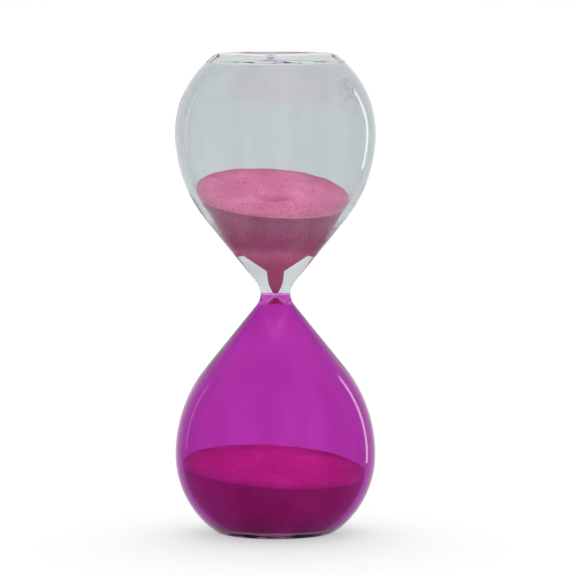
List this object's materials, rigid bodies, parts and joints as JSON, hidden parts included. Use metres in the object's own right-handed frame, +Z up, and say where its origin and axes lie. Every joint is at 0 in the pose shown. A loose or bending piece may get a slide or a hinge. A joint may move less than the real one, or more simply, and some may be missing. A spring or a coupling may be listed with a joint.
{
  "type": "hourglass",
  "caption": "Free-standing glass hourglass: a clear bulb fused to a magenta bulb at a narrow neck, flat at both ends, with fine pink sand sealed inside.",
  "frame": {"origin": "on the axis, in the plane of the flat ring that the lower bulb stands on", "axes": "+Z up along the axis of both bulbs, +X to the right and -Y towards the viewer"},
  "size_m": [0.0836, 0.0836, 0.2],
  "materials": {
    "clear_glass": "polished, faint grey-green tint",
    "magenta_glass": "polished, deep magenta",
    "pink_sand": "matt, fine dyed sand"
  },
  "bodies": {
    "root": {"upper_bulb": "clear_glass", "lower_bulb": "magenta_glass", "fill_seal": "clear_glass", "upper_sand": "pink_sand", "lower_sand": "pink_sand"}
  },
  "joints": []
}
